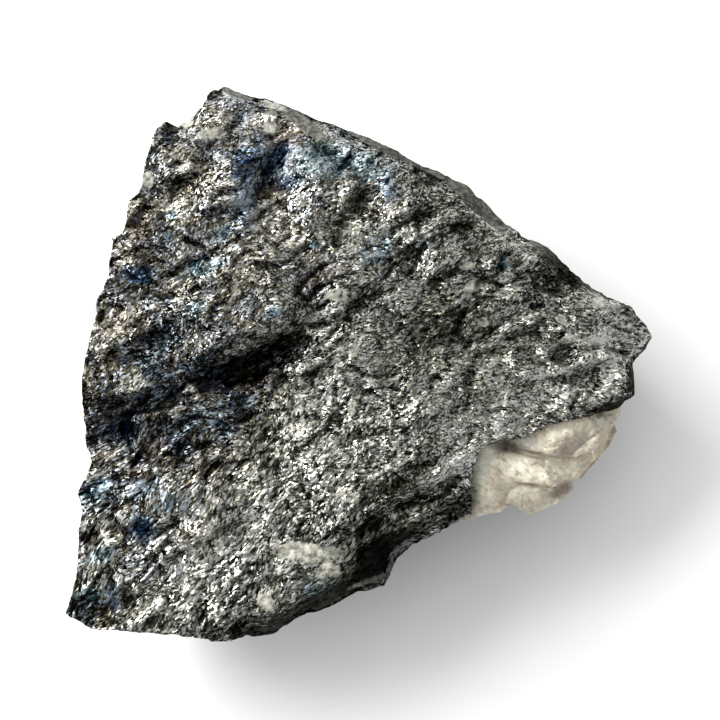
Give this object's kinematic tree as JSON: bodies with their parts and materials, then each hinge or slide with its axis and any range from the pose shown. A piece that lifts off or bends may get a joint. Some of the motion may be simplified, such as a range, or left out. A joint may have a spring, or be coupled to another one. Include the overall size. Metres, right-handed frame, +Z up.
{
  "type": "skutterudite specimen",
  "caption": "Broken lump of massive steel-grey ore with a rough, tarnished face turned up, a pinkish calcite block on one edge, and a small flat spot underneath that it rests on.",
  "frame": {"origin": "centre of the bounding box's bottom face, on the surface that the lump rests on", "axes": "+Z up, out of the broken face; +X to the picture's right, towards the pointed end; +Y to the picture's top"},
  "size_m": [0.0466, 0.0438, 0.0193],
  "materials": {
    "ore": "metallic, fine grained and sparkling, broken, with blue and bronze tarnish in patches",
    "calcite": "cream to pale pink, cleaved, slightly translucent"
  },
  "bodies": {
    "root": {"skutterudite": "ore", "calcite": "calcite"}
  },
  "joints": []
}
